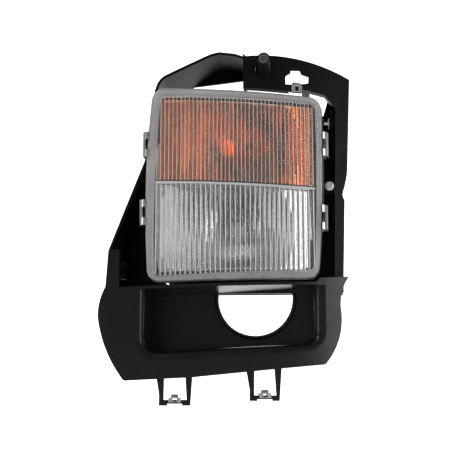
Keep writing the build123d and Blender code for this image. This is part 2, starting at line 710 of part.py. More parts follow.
def paraboloid(x, z, vertex_y, focus, reach):
    """The space in front of a paraboloid that opens forward."""
    depth = reach**2 / (4 * focus)
    with BuildPart() as bowl:
        with BuildSketch(Plane(origin=(x, vertex_y, z), x_dir=(1, 0, 0), z_dir=(0, 0, 1))):
            with BuildLine():
                Bezier((0, 0), (reach / 2, 0), (reach, -depth))
                Polyline((reach, -depth), (0, -depth), (0, 0))
            make_face()
        revolve(axis=Axis((x, vertex_y, z), (0, 1, 0)))
    return bowl.part


SHELL = 2.0
UPPER = (PARTITION_Z + PARTITION / 2, 0)
LOWER = (-300, PARTITION_Z - PARTITION / 2)
reflectors = {
    "turn_reflector": (TURN_X, TURN_Z, TURN_FOCUS, UPPER, 14.0),
    "fog_reflector": (FOG_X, FOG_Z, FOG_FOCUS, LOWER, 9.5),
}
for name, (axis_x, axis_z, focus, span, bulb_hole) in reflectors.items():
    outside = swept_block(compartment(*span, 0), FLANGE_RADIUS, HOUSING_BACK)
    outside = outside & paraboloid(axis_x, axis_z, VERTEX_Y + SHELL, focus, 110)
    front_mask = swept_shell(compartment(*span, 0), FLANGE_RADIUS, SHELL)
    inside = swept_block(compartment(*span, SHELL), BEZEL_RADIUS, HOUSING_BACK)
    inside = inside & paraboloid(axis_x, axis_z, VERTEX_Y, focus, 118)
    with BuildPart() as reflector:
        add(outside)
        add(front_mask)
        add(inside, mode=Mode.SUBTRACT)
        with BuildSketch(rear_plane(axis_x, axis_z, VERTEX_Y + 5)):
            Circle(bulb_hole)
        extrude(amount=15, mode=Mode.SUBTRACT)
    finish(reflector, name)

amber_panel = swept_shell(compartment(*UPPER, 0.5), FLANGE_RADIUS + 4, 2)
with BuildPart() as amber_filter:
    add(amber_panel)
finish(amber_filter, "amber_filter")

LENS_CLIPS = {
    "upper_left_lens_clip": (-120.2, -84.5, -1),
    "lower_left_lens_clip": (-122.5, -155.5, -1),
    "upper_right_lens_clip": (61.0, -74.5, 1),
    "lower_right_lens_clip": (59.2, -154, 1),
}
LENS_CLIP_HEIGHT = 27.0
CLIP_PATH = ((-1.5, 414.5), (1.0, 414.5), (5.2, 412), (5.2, 404.5), (1.0, 401.9), (-3.5, 401.9))
for name, (edge_x, middle_z, side) in LENS_CLIPS.items():
    path = []
    for out, radius in CLIP_PATH:
        x = edge_x + side * out
        path.append((x, face_y(x, radius)))
    with BuildPart() as lens_clip:
        with BuildSketch(Plane.XY.offset(middle_z - LENS_CLIP_HEIGHT / 2)):
            with BuildLine() as strip:
                Polyline(*path)
            trace(strip.line, line_width=CLIP_STRIP)
        extrude(amount=LENS_CLIP_HEIGHT)
    finish(lens_clip, name)


# ---------------------------------------------------------------- turn-signal socket and bulb
FRONT = (0, -1, 0)
GASKET_GAP = 0.05


def disc(x, z, y_front, y_back, outer, inner=0):
    """A round disc or ring about an optical axis, between two depths."""
    with BuildPart() as body:
        with BuildSketch(rear_plane(x, z, y_back)):
            Circle(outer)
            if inner:
                Circle(inner, mode=Mode.SUBTRACT)
        extrude(amount=y_back - y_front)
    return body.part


def connector(x, z, y_front, y_back, width, height):
    """A rectangular connector shell, open to the rear."""
    with BuildPart() as shell:
        with BuildSketch(rear_plane(x, z, y_back)):
            RectangleRounded(width, height, 2)
        extrude(amount=y_back - y_front)
        with BuildSketch(rear_plane(x, z, y_back)):
            RectangleRounded(width - 4, height - 4, 1)
        extrude(amount=y_back - y_front - 3, mode=Mode.SUBTRACT)
    return shell.part


def blades(x, z, y_front, y_back, pitch):
    """Two flat contact blades, side by side."""
    with BuildPart() as pair:
        with BuildSketch(rear_plane(x, z, y_back)):
            with Locations((-pitch / 2, 0), (pitch / 2, 0)):
                Rectangle(0.8, 5)
        extrude(amount=y_back - y_front)
    return pair


turn_lugs = lug_ring(16, 22, LUG_ANGLE, 0, rear_plane(TURN_X, TURN_Z, HOUSING_BACK - WALL - LUG_GAP))
with BuildPart() as turn_socket:
    add(disc(TURN_X, TURN_Z, 58.8, 70, 17))
    add(disc(TURN_X, TURN_Z, 50, 60, 10))
    extrude(turn_lugs, amount=SOCKET_LUG, dir=FRONT)
    add(disc(TURN_X, TURN_Z, 68, 71, 24))
    add(disc(TURN_X, TURN_Z, 70, 82, 15))
    for lean in (0, 120, 240):
        with BuildSketch(rear_plane(TURN_X, TURN_Z, 82)):
            with PolarLocations(16.5, 1, start_angle=lean + 90):
                Rectangle(9, 3.5)
        extrude(amount=12)
    add(connector(TURN_X, TURN_Z, 80, 97, 22, 14))
    add(disc(TURN_X, TURN_Z, 49, 66, 7.6), mode=Mode.SUBTRACT)
    add(blades(TURN_X, TURN_Z, 78, 90, 9).part, mode=Mode.SUBTRACT)
finish(turn_socket, "turn_socket")

with BuildPart() as turn_socket_gasket:
    add(disc(TURN_X, TURN_Z, HOUSING_BACK + GASKET_GAP, 68, 23.5, 17))
finish(turn_socket_gasket, "turn_socket_gasket")

turn_contacts = blades(TURN_X, TURN_Z, 78, 94, 9)
with BuildPart() as turn_bulb_cap:
    add(disc(TURN_X, TURN_Z, 46.5, 64, 7.5))
    add(disc(TURN_X, TURN_Z, 45, 62, 6.4), mode=Mode.SUBTRACT)
finish(turn_bulb_cap, "turn_bulb_cap")


def axis_plane(x, z):
    """A half-plane through an optical axis: its local x is the radius and its local y is Y."""
    return Plane(origin=(x, 0, z), x_dir=(1, 0, 0), z_dir=(0, 0, 1))


BULB_RADIUS = 12.5
BULB_Y = 33.0
GLASS = 1.0
NECK = 6.3
neck_y = BULB_Y + sqrt(BULB_RADIUS**2 - NECK**2)
inner_neck_y = BULB_Y + sqrt((BULB_RADIUS - GLASS) ** 2 - (NECK - GLASS) ** 2)
with BuildPart() as turn_bulb_glass:
    with BuildSketch(axis_plane(TURN_X, TURN_Z)):
        with BuildLine():
            ThreePointArc((0, BULB_Y - BULB_RADIUS), (BULB_RADIUS, BULB_Y), (NECK, neck_y))
            Polyline((NECK, neck_y), (NECK, 58), (NECK - GLASS, 58), (NECK - GLASS, inner_neck_y))
            ThreePointArc(
                (NECK - GLASS, inner_neck_y), (BULB_RADIUS - GLASS, BULB_Y), (0, BULB_Y - BULB_RADIUS + GLASS)
            )
            Line((0, BULB_Y - BULB_RADIUS + GLASS), (0, BULB_Y - BULB_RADIUS))
        make_face()
    revolve(axis=Axis((TURN_X, 0, TURN_Z), (0, 1, 0)))
finish(turn_bulb_glass, "turn_bulb_glass")

with BuildPart() as turn_filament:
    with BuildSketch(rear_plane(TURN_X, TURN_Z, 60)):
        with Locations((-3, 0), (3, 0)):
            Circle(0.5)
    extrude(amount=60 - VERTEX_Y + TURN_FOCUS)
    with BuildSketch(Plane(origin=(TURN_X - 3.5, VERTEX_Y - TURN_FOCUS, TURN_Z), z_dir=(1, 0, 0))):
        Circle(0.8)
    extrude(amount=7)
finish(turn_filament, "turn_filament")
finish(turn_contacts, "turn_contacts")

# ---------------------------------------------------------------- fog-lamp socket and bulb
fog_lugs = lug_ring(11, 16.5, LUG_ANGLE, 0, rear_plane(FOG_X, FOG_Z, HOUSING_BACK - WALL - LUG_GAP))
with BuildPart() as fog_socket:
    add(disc(FOG_X, FOG_Z, 58.8, 70, 12))
    add(disc(FOG_X, FOG_Z, 50, 60, 8))
    extrude(fog_lugs, amount=SOCKET_LUG, dir=FRONT)
    add(disc(FOG_X, FOG_Z, 68, 70.5, 18))
    add(disc(FOG_X, FOG_Z, 70, 80, 12))
    add(connector(FOG_X, FOG_Z, 78, 95, 20, 12))
    add(disc(FOG_X, FOG_Z, 49, 62, 6), mode=Mode.SUBTRACT)
    add(blades(FOG_X, FOG_Z, 76, 90, 8).part, mode=Mode.SUBTRACT)
finish(fog_socket, "fog_socket")

with BuildPart() as fog_socket_oring:
    add(disc(FOG_X, FOG_Z, HOUSING_BACK + GASKET_GAP, 68, 17.5, 12))
finish(fog_socket_oring, "fog_socket_oring")

fog_contacts = blades(FOG_X, FOG_Z, 76, 92, 8)
finish(fog_contacts, "fog_contacts")

CAPSULE = 6.0
dome_y = 28.0
with BuildPart() as fog_bulb_glass:
    with BuildSketch(axis_plane(FOG_X, FOG_Z)):
        with BuildLine():
            CenterArc((0, dome_y), CAPSULE, -90, 90)
            Polyline((CAPSULE, dome_y), (CAPSULE, 61), (CAPSULE - GLASS, 61), (CAPSULE - GLASS, dome_y))
            CenterArc((0, dome_y), CAPSULE - GLASS, -90, 90)
            Line((0, dome_y - CAPSULE + GLASS), (0, dome_y - CAPSULE))
        make_face()
    revolve(axis=Axis((FOG_X, 0, FOG_Z), (0, 1, 0)))
finish(fog_bulb_glass, "fog_bulb_glass")

with BuildPart() as fog_filament:
    with BuildSketch(rear_plane(FOG_X, FOG_Z, 61)):
        with Locations((-2.5, 0), (2.5, 0)):
            Circle(0.5)
    extrude(amount=61 - VERTEX_Y + FOG_FOCUS)
    with BuildSketch(Plane(origin=(FOG_X - 3, VERTEX_Y - FOG_FOCUS, FOG_Z), z_dir=(1, 0, 0))):
        Circle(0.8)
    extrude(amount=6)
finish(fog_filament, "fog_filament")

SHIELD_RADIUS = 9.5
SHIELD_FRONT = 12.0
with BuildPart() as bulb_shield:
    add(disc(FOG_X, FOG_Z, SHIELD_FRONT, SHIELD_FRONT + 14, SHIELD_RADIUS))
    add(disc(FOG_X, FOG_Z, SHIELD_FRONT + 1, SHIELD_FRONT + 15, SHIELD_RADIUS - 1), mode=Mode.SUBTRACT)
    with BuildSketch(rear_plane(FOG_X, FOG_Z, VERTEX_Y - 1.6)):
        with Locations((0, -SHIELD_RADIUS - 0.4)):
            Rectangle(5, 1.2)
    extrude(amount=VERTEX_Y - 1.6 - SHIELD_FRONT - 4)
finish(bulb_shield, "bulb_shield")
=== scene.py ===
"""Looks of the bumper lamp: materials for every CAD node, and detailed pieces that stand for some of them.

Metres, in the CAD's own frame: +X outboard, -Y forward, +Z up, origin at the root of the locating post.
"""
import json
import math

import bmesh
import bpy
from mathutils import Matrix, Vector


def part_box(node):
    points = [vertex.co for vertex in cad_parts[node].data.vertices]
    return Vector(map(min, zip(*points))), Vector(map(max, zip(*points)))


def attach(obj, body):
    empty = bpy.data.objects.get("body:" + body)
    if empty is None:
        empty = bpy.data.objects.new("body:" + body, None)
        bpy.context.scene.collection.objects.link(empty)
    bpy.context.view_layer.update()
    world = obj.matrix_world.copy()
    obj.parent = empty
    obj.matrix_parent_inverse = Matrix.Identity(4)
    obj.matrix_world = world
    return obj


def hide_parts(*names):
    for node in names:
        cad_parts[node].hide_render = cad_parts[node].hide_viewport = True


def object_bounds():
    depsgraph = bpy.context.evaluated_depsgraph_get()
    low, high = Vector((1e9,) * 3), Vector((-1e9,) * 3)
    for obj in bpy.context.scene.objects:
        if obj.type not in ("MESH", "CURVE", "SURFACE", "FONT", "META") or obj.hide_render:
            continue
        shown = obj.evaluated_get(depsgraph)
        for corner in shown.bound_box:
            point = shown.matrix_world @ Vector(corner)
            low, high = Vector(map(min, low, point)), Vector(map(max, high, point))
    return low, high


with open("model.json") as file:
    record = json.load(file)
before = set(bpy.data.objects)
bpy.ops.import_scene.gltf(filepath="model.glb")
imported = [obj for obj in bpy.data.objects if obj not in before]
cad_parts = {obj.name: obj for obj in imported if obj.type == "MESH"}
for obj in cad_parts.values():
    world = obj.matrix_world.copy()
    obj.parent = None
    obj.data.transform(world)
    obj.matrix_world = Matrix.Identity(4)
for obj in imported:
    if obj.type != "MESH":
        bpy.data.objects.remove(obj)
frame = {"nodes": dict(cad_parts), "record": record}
cad_low, cad_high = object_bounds()
nodes = frame["nodes"]
MM = 0.001

# ------------------------------------------------------------------ camera, light and stage
AZIMUTH = math.radians(4.6)         # a little from the right and from below
ELEVATION = math.radians(-9.9)
DISTANCE = 1.0
AIM = Vector((-0.040, -0.034, -0.171))

WORLD_LIGHT = 0.34
STAGE_GLOW = {"floor": 0.55, "backdrop": 1.0}
FLOOR_GAP = 0.002
REACH = 3.0                         # half the floor's width
BACKDROP_Y = 1.4
LIGHTS = (                          # name, place, width and height, watts
    ("key", (-0.8, -1.0, 1.1), (0.7, 0.7), 9),
    ("side", (-1.1, -0.75, -0.1), (0.5, 0.5), 3.5),
    ("sheen", (1.2, -0.5, -0.1), (0.35, 0.9), 6.5),
)


def make_camera():
    back = Vector((
        math.sin(AZIMUTH) * math.cos(ELEVATION),
        -math.cos(AZIMUTH) * math.cos(ELEVATION),
        math.sin(ELEVATION),
    ))
    data = bpy.data.cameras.new("camera")
    data.lens = 80
    data.sensor_width = 36
    data.clip_start = 0.01
    camera = bpy.data.objects.new("camera", data)
    camera.location = AIM + back * DISTANCE
    camera.rotation_euler = (-back).to_track_quat("-Z", "Y").to_euler()
    bpy.context.scene.collection.objects.link(camera)
    bpy.context.scene.camera = camera


def area_light(name, place, size, power):
    data = bpy.data.lights.new(name, "AREA")
    data.shape = "RECTANGLE"
    data.size, data.size_y = size
    data.energy = power
    light = bpy.data.objects.new(name, data)
    light.location = place
    light.rotation_euler = (AIM - Vector(place)).to_track_quat("-Z", "Y").to_euler()
    bpy.context.scene.collection.objects.link(light)


def make_stage():
    world = bpy.data.worlds.new("studio")
    world.use_nodes = True
    background = world.node_tree.nodes["Background"]
    background.inputs["Color"].default_value = (1, 1, 1, 1)
    background.inputs["Strength"].default_value = WORLD_LIGHT
    bpy.context.scene.world = world
    bpy.context.scene.view_settings.view_transform = "Standard"

    level = cad_low[2] - FLOOR_GAP
    sheets = {
        "floor": (
            (-REACH, -REACH, level), (REACH, -REACH, level),
            (REACH, BACKDROP_Y, level), (-REACH, BACKDROP_Y, level),
        ),
        "backdrop": (
            (-REACH, BACKDROP_Y, level), (REACH, BACKDROP_Y, level),
            (REACH, BACKDROP_Y, 2 * REACH), (-REACH, BACKDROP_Y, 2 * REACH),
        ),
    }
    for name, corners in sheets.items():
        mesh = bpy.data.meshes.new(name)
        mesh.from_pydata(corners, [], [(0, 1, 2, 3)])
        sheet = bpy.data.objects.new(name, mesh)
        bpy.context.scene.collection.objects.link(sheet)
        mesh.materials.append(studio_paper(f"{name}_paint", STAGE_GLOW[name]))
    for light in LIGHTS:
        area_light(*light)


# ------------------------------------------------------------------ materials
PLASTIC_IOR = 1.49
GLASS_IOR = 1.52
LINE_WIDTH = 0.16                   # half the matt line between two flutes, as a share of their pitch


class Nodes:
    """A new node material with a few short-hands."""

    def __init__(self, name):
        self.material = bpy.data.materials.new(name)
        self.material.use_nodes = True
        self.tree = self.material.node_tree
        self.shader = self.tree.nodes["Principled BSDF"]
        self.place = self.add("ShaderNodeTexCoord").outputs["Object"]

    def add(self, kind, **values):
        node = self.tree.nodes.new(kind)
        for key, value in values.items():
            setattr(node, key, value)
        return node

    def link(self, source, target):
        self.tree.links.new(source, target)

    def set(self, **values):
        for key, value in values.items():
            self.shader.inputs[key.replace("_", " ")].default_value = value

    def noise(self, scale, detail=4, stretch=None):
        node = self.add("ShaderNodeTexNoise")
        node.inputs["Scale"].default_value = scale
        node.inputs["Detail"].default_value = detail
        source = self.place
        if stretch:
            mapping = self.add("ShaderNodeMapping")
            mapping.inputs["Scale"].default_value = stretch
            self.link(source, mapping.inputs["Vector"])
            source = mapping.outputs["Vector"]
        self.link(source, node.inputs["Vector"])
        return node.outputs["Fac"]

    def ramp(self, source, stops):
        node = self.add("ShaderNodeValToRGB")
        while len(node.color_ramp.elements) < len(stops):
            node.color_ramp.elements.new(0.5)
        for element, (position, colour) in zip(node.color_ramp.elements, stops):
            element.position = position
            element.color = (*colour, 1)
        self.link(source, node.inputs["Fac"])
        return node.outputs["Color"]

    def base(self, source, stops):
        """The base colour runs through the stops as the source goes from 0 to 1."""
        self.link(self.ramp(source, stops), self.shader.inputs["Base Color"])

    def rescale(self, source, low=0, high=1, start=0, end=1):
        """The source's values from start to end become values from low to high."""
        node = self.add("ShaderNodeMapRange")
        for key, value in (("From Min", start), ("From Max", end), ("To Min", low), ("To Max", high)):
            node.inputs[key].default_value = value
        self.link(source, node.inputs["Value"])
        return node.outputs["Result"]

    def roughness(self, source, low, high):
        self.link(self.rescale(source, low, high), self.shader.inputs["Roughness"])

    def math(self, operation, source, *values):
        """A math node whose other inputs are constants or outputs of other nodes."""
        node = self.add("ShaderNodeMath", operation=operation)
        self.link(source, node.inputs[0])
        for socket, value in zip(list(node.inputs)[1:], values):
            if isinstance(value, bpy.types.NodeSocket):
                self.link(value, socket)
            else:
                socket.default_value = value
        return node.outputs[0]

    def along(self, axis):
        split = self.add("ShaderNodeSeparateXYZ")
        self.link(self.place, split.inputs["Vector"])
        return split.outputs[axis]

    def bump(self, source, strength, distance):
        node = self.add("ShaderNodeBump")
        node.inputs["Strength"].default_value = strength
        node.inputs["Distance"].default_value = distance
        self.link(source, node.inputs["Height"])
        self.link(node.outputs["Normal"], self.shader.inputs["Normal"])


def studio_paper(name, glow):
    """Pale paper, lit evenly enough to stay nearly white."""
    m = Nodes(name)
    shade = m.ramp(m.noise(3), [(0.3, (0.8924, 0.8924, 0.8924)), (0.7, (0.92, 0.92, 0.92))])
    m.link(shade, m.shader.inputs["Base Color"])
    m.link(shade, m.shader.inputs["Emission Color"])
    m.set(Roughness=0.8, Emission_Strength=glow)
    return m.material


def moulded_plastic(name, dark, light, roughness=(0.36, 0.5), gloss=0.16):
    """Injection-moulded plastic: fine spark grain, slight flow marks and paler worn high spots."""
    m = Nodes(name)
    m.base(m.noise(9, 3, stretch=(1, 1, 0.35)), [(0.3, dark), (0.75, light)])
    m.roughness(m.noise(55, 5), *roughness)
    m.bump(m.noise(1400, 2), 0.35, 0.00006)
    m.set(Specular_IOR_Level=gloss)
    return m.material


def rubber(name, dark, light):
    m = Nodes(name)
    m.base(m.noise(60), [(0.3, dark), (0.7, light)])
    m.roughness(m.noise(220, 3), 0.6, 0.8)
    m.bump(m.noise(900, 3), 0.4, 0.00008)
    return m.material


def metal(name, dark, light, roughness, stretch=(1, 1, 1), scale=160):
    m = Nodes(name)
    grain = m.noise(scale, 6, stretch=stretch)
    m.base(grain, [(0.3, dark), (0.7, light)])
    m.roughness(grain, *roughness)
    m.bump(grain, 0.3, 0.00002)
    m.set(Metallic=1.0)
    return m.material


def chrome(name):
    """Vacuum-metallised plastic: very smooth, with a faint orange peel."""
    m = Nodes(name)
    m.base(m.noise(14), [(0.3, (0.60, 0.60, 0.61)), (0.7, (0.70, 0.70, 0.70))])
    m.roughness(m.noise(35), 0.05, 0.09)
    m.bump(m.noise(120, 2), 0.15, 0.00005)
    m.set(Metallic=1.0)
    return m.material


def flute_lines(m, pitch):
    """0 across a flute and 1 on the narrow line where two flutes meet."""
    cycles = m.math("MULTIPLY_ADD", m.along("X"), 1 / (pitch * MM), 0.5 - PANEL_LEFT / pitch)
    wave = m.math("PINGPONG", cycles, 0.5)
    return m.rescale(wave, start=0.5 - LINE_WIDTH, end=0.5)


def fluted(name, pitch, body, line, low, high):
    """Clear plastic with moulded flutes: the line where two flutes meet is matt and catches the light."""
    m = Nodes(name)
    speck = m.rescale(m.noise(260, 3, stretch=(1, 1, 0.12)), 0.55, 1.15)
    mix = m.math("MULTIPLY", flute_lines(m, pitch), speck)
    m.base(mix, [(0.0, low), (0.9, high)])
    m.link(m.rescale(mix, body, line), m.shader.inputs["Transmission Weight"])
    m.roughness(mix, 0.06, 0.35)
    m.set(IOR=PLASTIC_IOR)
    return m.material


def frosted_border(name):
    """The lens's ground border: milky, with a faint sheen."""
    m = Nodes(name)
    m.base(m.noise(30), [(0.3, (0.55, 0.54, 0.54)), (0.7, (0.68, 0.67, 0.67))])
    m.roughness(m.noise(200), 0.12, 0.24)
    m.bump(m.noise(500, 3), 0.15, 0.00004)
    m.set(Transmission_Weight=0.68, IOR=PLASTIC_IOR)
    return m.material


def divider_bar(name, bottom, top):
    """The moulded bar between the lens's two windows: darker grey along its lower edge, and painted shade,
    nearly black, along its upper edge.
    """
    m = Nodes(name)
    height = m.rescale(m.along("Z"), start=bottom * MM, end=top * MM)
    # painted shade: the top of the ramp turns nearly black along the bar's upper edge
    m.base(height, [
        (0.0, (0.30, 0.29, 0.29)), (0.15, (0.62, 0.61, 0.61)),
        (0.55, (0.66, 0.65, 0.65)), (0.72, (0.05, 0.05, 0.05)),
    ])
    m.roughness(m.noise(200), 0.12, 0.24)
    m.set(Transmission_Weight=0.4, IOR=PLASTIC_IOR)
    return m.material


def clear(name, low, high, roughness, ior=PLASTIC_IOR):
    """Clear or tinted transparent plastic or glass."""
    m = Nodes(name)
    m.base(m.noise(20), [(0.3, low), (0.7, high)])
    m.roughness(m.noise(70), *roughness)
    m.bump(m.noise(90, 2), 0.1, 0.00004)
    m.set(Transmission_Weight=1.0, IOR=ior)
    return m.material


MATERIALS = {
    "carrier_plastic": moulded_plastic(
        "carrier_plastic", (0.0035, 0.0034, 0.0034), (0.0075, 0.0068, 0.0068), (0.28, 0.42), 0.05),
    "bezel_plastic": moulded_plastic(
        "bezel_plastic", (0.003, 0.003, 0.003), (0.007, 0.0065, 0.0065), (0.22, 0.34), 0.2),
    "housing_plastic": moulded_plastic("housing_plastic", (0.006, 0.006, 0.006), (0.012, 0.012, 0.012)),
    "socket_plastic": moulded_plastic("socket_plastic", (0.05, 0.05, 0.052), (0.08, 0.08, 0.082)),
    "nylon": moulded_plastic("nylon", (0.62, 0.60, 0.53), (0.72, 0.70, 0.64), (0.4, 0.55)),
    "buffer_rubber": rubber("buffer_rubber", (0.035, 0.03, 0.028), (0.06, 0.052, 0.048)),
    "seal_rubber": rubber("seal_rubber", (0.012, 0.012, 0.012), (0.022, 0.022, 0.022)),
    "clip_steel": metal("clip_steel", (0.24, 0.24, 0.24), (0.48, 0.48, 0.47), (0.2, 0.34), (1, 1, 0.1)),
    "screw_steel": metal("screw_steel", (0.5, 0.5, 0.5), (0.72, 0.72, 0.72), (0.22, 0.36), scale=300),
    "reflector_chrome": chrome("reflector_chrome"),
    "contact_brass": metal("contact_brass", (0.62, 0.46, 0.2), (0.78, 0.6, 0.3), (0.25, 0.4)),
    "filament": metal("filament", (0.25, 0.25, 0.26), (0.4, 0.4, 0.42), (0.35, 0.5)),
    "clear_lens": clear("clear_lens", (0.96, 0.97, 0.97), (1, 1, 1), (0.02, 0.05)),
    "bulb_glass": clear("bulb_glass", (0.97, 0.98, 0.98), (1, 1, 1), (0.0, 0.02), GLASS_IOR),
    "amber_glass": clear("amber_glass", (1.0, 0.66, 0.42), (1.0, 0.72, 0.50), (0.02, 0.05), GLASS_IOR),
    "amber_plastic": clear("amber_plastic", (1.0, 0.44, 0.22), (1.0, 0.56, 0.32), (0.08, 0.16)),
}
UPPER_PITCH, UPPER_DEPTH = 4.1, 0.7    # flutes, in millimetres
LOWER_PITCH, LOWER_DEPTH = 5.0, 0.85
AMBER_PITCH, AMBER_DEPTH = 3.3, 0.6
PANEL_LEFT = -111.0                 # where two flutes meet, on every panel
DIVIDER_Z = (-125.6, -122.0)
LENS_LOOKS = {
    "lens_border": frosted_border("lens_border_frost"),
    "lens_upper_flutes": fluted(
        "lens_upper_flutes", UPPER_PITCH, 0.985, 0.62, (1.0, 0.94, 0.90), (1.0, 0.80, 0.70)),
    "lens_lower_flutes": fluted(
        "lens_lower_flutes", LOWER_PITCH, 0.98, 0.45, (0.93, 0.93, 0.93), (0.88, 0.87, 0.86)),
    "lens_divider": divider_bar("lens_divider_frost_and_painted_shade", *DIVIDER_Z),
}


def dress_nodes():
    """Every CAD node gets its slot's material."""
    for part in frame["record"]["subparts"]:
        node = nodes[part["node"]]
        node.data.materials.clear()
        node.data.materials.append(MATERIALS[part["material_slot"]])


# ------------------------------------------------------------------ shared geometry, in millimetres
SWEEP_X, SWEEP_Y = -140.0, 385.36    # axis of the vertical cylinders that the front faces follow
SHARP = math.radians(38)
LATHE_SIDES = 48

bodies_of = {node: body for body, names in frame["record"]["behaviour"]["bodies"].items() for node in names}
slot_of = {part["node"]: part["material_slot"] for part in frame["record"]["subparts"]}


def sweep_y(x, radius):
    return SWEEP_Y - math.sqrt(radius**2 - (x - SWEEP_X) ** 2)


def swept(x, z, radius):
    """The point at x and z on a swept cylinder of the given radius, in metres."""
    return Vector((x, sweep_y(x, radius), z)) * MM


def mm_box(node):
    low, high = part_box(node)
    return Vector(low) / MM, Vector(high) / MM


def blend_points(a, b, t):
    return tuple(p + (q - p) * t for p, q in zip(a, b))


def stand_for(name, mesh, node):
    """Makes the mesh an object that stands for a CAD node, with that node's body and material."""
    mesh.validate()
    work = bmesh.new()
    work.from_mesh(mesh)
    bmesh.ops.recalc_face_normals(work, faces=work.faces)
    for face in work.faces:
        face.smooth = True
    for edge in work.edges:
        edge.smooth = len(edge.link_faces) == 2 and edge.calc_face_angle(0) < SHARP
    work.to_mesh(mesh)
    work.free()
    piece = bpy.data.objects.new(name, mesh)
    bpy.context.scene.collection.objects.link(piece)
    mesh.materials.append(MATERIALS[slot_of[node]])
    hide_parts(node)
    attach(piece, bodies_of[node])
    return piece


def grid_mesh(name, rows, closed_u=False, closed_v=False):
    """A mesh over rows of points. closed_u joins the ends of each row, closed_v the last row to the first."""
    width = len(rows[0])
    points = [point for row in rows for point in row]
    faces = []
    for j in range(len(rows) - (0 if closed_v else 1)):
        for i in range(width - (0 if closed_u else 1)):
            a, b = j * width + i, j * width + (i + 1) % width
            k = (j + 1) % len(rows) * width
            faces.append((a, b, k + (i + 1) % width, k + i))
    mesh = bpy.data.meshes.new(name)
    mesh.from_pydata(points, [], faces)
    return mesh


def ring_point(centre, radius, angle, y):
    """A point on a circle about a Y axis through centre, which is an x and a z."""
    return Vector((centre[0] + radius * math.cos(angle), y, centre[1] + radius * math.sin(angle))) * MM


def cap_ends(mesh, sides):
    """Closes the open first and last rows of a tube whose rows have the given number of sides."""
    work = bmesh.new()
    work.from_mesh(mesh)
    work.verts.ensure_lookup_table()
    last_row = len(work.verts) - sides
    for base in (0, last_row):
        work.faces.new([work.verts[base + k] for k in range(sides)])
    work.to_mesh(mesh)
    work.free()


def join_meshes(name, meshes):
    work = bmesh.new()
    for mesh in meshes:
        work.from_mesh(mesh)
    joined = bpy.data.meshes.new(name)
    work.to_mesh(joined)
    work.free()
    for mesh in meshes:
        bpy.data.meshes.remove(mesh)
    return joined


def lathe(name, profile, centre):
    """A closed round body about a Y axis: the profile is (radius, y) pairs, from axis to axis."""
    angles = [2 * math.pi * k / LATHE_SIDES for k in range(LATHE_SIDES)]
    rows = [[ring_point(centre, radius, angle, y) for angle in angles] for radius, y in profile]
    mesh = grid_mesh(name, rows, closed_u=True)
    work = bmesh.new()
    work.from_mesh(mesh)
    bmesh.ops.remove_doubles(work, verts=work.verts, dist=1e-7)
    work.to_mesh(mesh)
    work.free()
    return mesh


# ------------------------------------------------------------------ outer lens
SIDE_STEPS = 22
CORNER_STEPS = 9
ARC_HANDLE = 0.5523                 # handle of a Bezier curve that follows a quarter circle


def rounded(corners, bows, radius):
    """A closed outline through four corners whose sides bow outward, with rounded corners."""
    sides = []
    for k in range(4):
        a, b = Vector(corners[k]), Vector(corners[(k + 1) % 4])
        along = b - a
        outward = Vector((-along.y, along.x)).normalized() * bows[k]
        sides.append((a, along, outward))

    def on_side(k, t):
        a, along, outward = sides[k % 4]
        return a + along * t + outward * (4 * t * (1 - t))

    outline = []
    for k in range(4):
        cut = radius / sides[k][1].length
        next_cut = radius / sides[(k + 1) % 4][1].length
        for step in range(SIDE_STEPS):
            outline.append(on_side(k, cut + (1 - 2 * cut) * step / SIDE_STEPS))
        start, corner, end = on_side(k, 1 - cut), on_side(k, 1), on_side(k + 1, next_cut)
        near, far = start.lerp(corner, ARC_HANDLE), end.lerp(corner, ARC_HANDLE)
        for step in range(CORNER_STEPS):
            t = step / CORNER_STEPS
            outline.append(
                start * (1 - t) ** 3 + near * 3 * t * (1 - t) ** 2 + far * 3 * t**2 * (1 - t) + end * t**3
            )
    return outline


TOP = mm_box("lens")[1].z - 0.05
LENS_CORNER = 13.0
LENS_CORNERS = ((-119.0, -227.45), (-116.0, TOP), (59.0, TOP), (53.5, -219.95))
LENS_BOWS = (4.4, 0.0, 2.4, 0.0)
PANEL_CORNERS = ((-112.4, -221.0), (-107.2, -34.4), (51.6, -32.8), (49.4, -210.0))
PANEL_BOWS = (2.6, 0.3, 1.8, 0.0)
PANEL_CORNER = 6.0
PANEL_MIDDLE = (-30, -125)
PANEL_SHRINK = 0.0006               # keeps the panels clear of their border
BORDER_PROFILE = (                  # across the border: share of its width, radius of the sweep
    (0.0, 407.05), (0.0, 411.0), (0.03, 412.1), (0.1, 413.1), (0.2, 413.75), (0.3, 413.95), (0.4, 413.7),
    (0.5, 413.35), (0.8, 413.3), (0.86, 413.8), (0.93, 413.95), (1.0, 413.6), (1.0, 411.3), (0.9, 411.0),
    (0.36, 411.0), (0.3, 410.5), (0.27, 407.05),
)
PANEL_FRONT = 413.7
PANEL_REAR = 411.3
PANEL_GAP = 0.04                    # between the panels and the divider
BAR_PROUD, BAR_DEPTH = 0.15, 2.5
STEPS_PER_FLUTE = 8
AMBER_FRONT, AMBER_REAR = 409.3, 408.3
AMBER_WAVE, AMBER_WAVE_RATE = 0.35, 0.9


def outline_span(outline, x):
    """Lowest and highest z of a closed outline at x."""
    crossings = []
    for k, a in enumerate(outline):
        b = outline[(k + 1) % len(outline)]
        if (a[0] - x) * (b[0] - x) <= 0 and a[0] != b[0]:
            crossings.append(a[1] + (b[1] - a[1]) * (x - a[0]) / (b[0] - a[0]))
    return (min(crossings), max(crossings)) if len(crossings) > 1 else (outline[0][1], outline[0][1])


